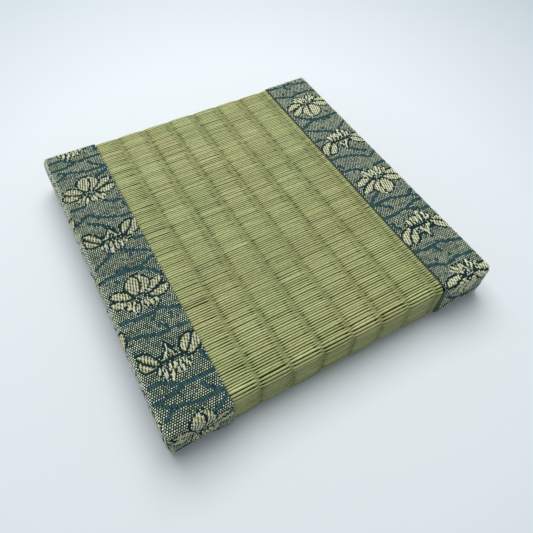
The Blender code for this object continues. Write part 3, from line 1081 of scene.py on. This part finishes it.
def makeBorderYarn(name, onTop, side, inner, shift):
    warp, pick = mat["warpPitch"], mat["pickPitch"]
    flatX = halfX - bend - inner
    fold = flatX + quarter
    down = high - 2 * bend
    if onTop:
        warps = np.arange(0, int(fold / warp))
        reach = flatY + 4 * quarter + down
    else:
        end = flatX + 4 * quarter + down + (halfX - bend - mat["underEdge"])
        warps = np.arange(int(fold / warp), int(end / warp) - 1)
        reach = flatY + quarter
    last = int(reach / pick)
    picks = np.arange(-last, last + 1)
    a = (warps + 0.5) * warp
    b = picks * pick
    # past the board's underside edge a flap only turns in between the soles
    far = flatY + 3 * quarter + down
    allowed = ~((np.abs(b)[None, :] > far) & ((inner + a)[:, None] > mat["underEdge"]))
    groups = []

    def chartAt(across):
        px = -(mat["leftInner"] + across) * 1000 + (mat["leftInner"] - inner) * 1000 + shift[0]
        return chartFigure(px[:, None], (b * 1000 + shift[1])[None, :])

    def onFlap(along):
        return np.abs(along) > flatY + quarter

    def lay(picksLong, aMid, bMid, wide, long, slots, alongX=False, top=yarn["top"], lean=0.0,
            shoulder=0.5, more=0.0, tone=0.7, uneven=0.2, sizes=0.06):
        points, faces = grainShapes[picksLong]
        count = len(aMid)
        u, v, w = (points[:, k][None, :] for k in range(3))
        wobble = chance.normal(0, yarn["wander"], (count, 1))
        scale = 1 + chance.normal(0, sizes, (count, 1))
        if alongX:
            aa = aMid[:, None] + v * long * scale
            bb = bMid[:, None] + u * wide * scale + wobble
        else:
            atTip = np.abs(v) > np.abs(v).max() - 0.3
            aa = aMid[:, None] + u * wide * scale + wobble - v * lean
            bb = bMid[:, None] + v * long * scale + np.sign(v) * atTip * more
        height = np.interp(w, [-0.5, 0.0, 0.5], [0.0, shoulder, 1.0])
        out = yarn["bottom"] + height * (np.broadcast_to(top, count)[:, None] - yarn["bottom"])
        place = clothPlace(onTop, aa, bb, out, inner)
        if side > 0:
            place[..., :2] *= -1
        tones = np.clip(tone + chance.normal(0, uneven, count), 0, 1)
        # a runs against X, which turns a float's faces over, unless the two axes are swapped as well
        listed = faces if alongX else [tuple(reversed(face)) for face in faces]
        groups.append((place, listed, np.broadcast_to(slots, count), {"tone": tones}))

    chart = chartAt(a)
    up = (warps[:, None] + picks[None, :]) % 2 == 0
    i, j = np.nonzero((chart == groundCode) & up & allowed)
    # on the sides fewer of the dots are yellow, as painted sheen, and they are painted duller, as painted
    # shade; over the outer roll the dots are wider, and painted lighter as painted light
    yellow = warps[i] % yarn["yellowEvery" if onTop else "sideYellowEvery"] == 1
    roll = yarn["rollWidthAndLight"][side] * np.interp(np.abs(a[i] - fold), *yarn["rollReach"])
    dotTone = yarn["dotTone"][side] - yarn["sidePaintedShade"] * (not onTop) + roll
    dotTone = dotTone + chance.normal(0, yarn["pickUneven"], len(picks))[j]
    lay(1, a[i], b[j], yarn["dotWide"][side] * (1 + roll[:, None]), yarn["dotLong"] * pick,
        np.where(yellow, yarnSlot["yellow"], yarnSlot["white"]),
        top=np.where(onFlap(b[j]), yarn["flapDotTop"], yarn["dotTop" if onTop else "sideDotTop"]),
        lean=yarn["dotLean"], shoulder=yarn["dotShoulder"], tone=dotTone, uneven=yarn["dotUneven"],
        sizes=yarn["sizeUneven"])

    # a petal's floats are tied down in a regular lattice; the fine petals miss half of the ties
    tied = (warps[:, None] - 2 * picks[None, :]) % 5 == 0
    missed = chance.random(chart.shape) < 0.5
    petal = (chart == petalCode) & ~tied | (chart == fineCode) & ~(tied & missed)
    for length, found in findRuns(petal & allowed).items():
        rows = found[:, 0].astype(int)
        along = (found[:, 1] - last) * pick
        lay(length, a[rows], along, yarn["petalWide"], yarn["petalLong"] * pick,
            np.where(warps[rows] % 2, yarnSlot["gold"], yarnSlot["cream"]),
            top=np.where(onFlap(along), yarn["flapPetalTop"], yarn["petalTop"]),
            lean=yarn["petalLean"], shoulder=yarn["petalShoulder"], more=yarn["petalMore"],
            tone=yarn["petalTone"][side] + yarn["flapPetalPaintedLight"] * onFlap(along),
            uneven=yarn["petalUneven"])

    # an ochre yarn comes up where a petal's floats are tied down
    i, j = np.nonzero((chart == petalCode) & tied & allowed)
    lay(1, a[i], b[j], yarn["petalWide"], pick, yarnSlot["ochre"], top=0.0)

    # the wave's weft floats over two warps at a time
    pairs = np.nonzero(warps[:-1] % 2 == 0)[0]
    middles = (warps[pairs] + 1) * warp
    i, j = np.nonzero((chartAt(middles) == waveCode) & allowed[pairs])
    lay(1, middles[i], b[j], yarn["waveWide"], yarn["waveLong"], yarnSlot["teal"], alongX=True,
        top=yarn["top"] * yarn["waveTop"])
    # and its darkest floats draw the outlines, over single warps
    i, j = np.nonzero((chart == outlineCode) & allowed)
    lay(1, a[i], b[j], yarn["waveWide"] * yarn["outlineWide"], warp * yarn["outlineLong"],
        yarnSlot["navy"], alongX=True, top=yarn["top"] * yarn["outlineTop"])

    return joinCopies(name, groups, yarnMaterials)


stripYarn = {"Left": [], "Right": []}
for label, *strip in (
    ("Left", -1, mat["leftInner"], (0.0, 0.0)), ("Right", 1, mat["rightInner"], figure["rightShift"]),
):
    for part, onTop in (("Top", True), ("Side", False)):
        stripYarn[label].append(makeBorderYarn("borderYarn" + label + part, onTop, *strip))
print("brocade yarns laid")


# floor, light and camera
studio = {
    "floor": (0.708, 0.755, 0.790),
    "floorDull": 0.99,  # the floor's slightly duller patches
    "floorFalloff": (0.66, 0.70, 0.73),  # painted light falloff: the floor darkens by this much, from one distance to another
    "falloffStarts": 0.15,
    "falloffEnds": 0.36,
    "sky": (0.88, 0.95, 1.0),
    "skyStrength": 0.36,
    "lampPlace": (0.10, 0.40, 0.90),
    "lampSize": 0.95,
    "lampPower": 11.3,
    "lampSpread": 180,  # in degrees
    "lampColour": (1.0, 0.99, 0.97),
    "camera": (-0.075918, -0.140135, 0.197648),
    "cameraTurn": (35.406, -1.422, -29.382),
    "lens": 33.44,
}


def makeFloor():
    floor = addNew(bpy.ops.mesh.primitive_plane_add, size=4.0, location=(0, 0, -0.0001))
    floor.name = "paleFloor"
    settle(floor)
    material, tree = newMaterial("palePaper", 0.7, 0.2)
    place = addPlace(tree, (-900, 0))
    noise = addNode(tree, "ShaderNodeTexNoise", (-700, 0), {
        "Vector": place, "Scale": 3.0, "Detail": 2.0,
    })
    dull = scaled(studio["floor"], studio["floorDull"])
    colour = addRamp(tree, (-450, 0), [(0.3, dull), (0.7, studio["floor"])], noise.outputs["Fac"])
    # painted light falloff, darker farther from the middle
    away = addNode(tree, "ShaderNodeVectorMath", (-700, -300), {0: place}, operation="LENGTH")
    far = addMath(tree, (-500, -300), "SUBTRACT", away.outputs["Value"], studio["falloffStarts"])
    far = addMath(tree, (-300, -300), "DIVIDE", far, studio["falloffEnds"] - studio["falloffStarts"], clamp=True)
    colour = addMix(tree, (-100, 0), far, colour, studio["floorFalloff"])
    floor.data.materials.append(dress(material, colour))


def makeLights():
    world = bpy.data.worlds.new("paleRoom")
    bpy.context.scene.world = world
    world.use_nodes = True
    sky = world.node_tree.nodes["Background"]
    sky.inputs["Color"].default_value = (*studio["sky"], 1.0)
    sky.inputs["Strength"].default_value = studio["skyStrength"]
    lamp = addNew(bpy.ops.object.light_add, type="AREA", location=studio["lampPlace"])
    lamp.name = "softbox"
    lamp.rotation_euler = (-Vector(studio["lampPlace"])).to_track_quat("-Z", "Y").to_euler()
    lamp.data.size = studio["lampSize"]
    lamp.data.energy = studio["lampPower"]
    lamp.data.spread = math.radians(studio["lampSpread"])
    lamp.data.color = studio["lampColour"]


def makeCamera():
    turn = [math.radians(degrees) for degrees in studio["cameraTurn"]]
    camera = addNew(bpy.ops.object.camera_add, location=studio["camera"], rotation=turn)
    camera.name = "photoCamera"
    camera.data.lens = studio["lens"]
    camera.data.sensor_width = 36.0
    camera.data.clip_start = 0.005
    bpy.context.scene.camera = camera
    bpy.context.scene.view_settings.view_transform = "Standard"


makeFloor()
makeLights()
makeCamera()
print("floor, lights and camera set")
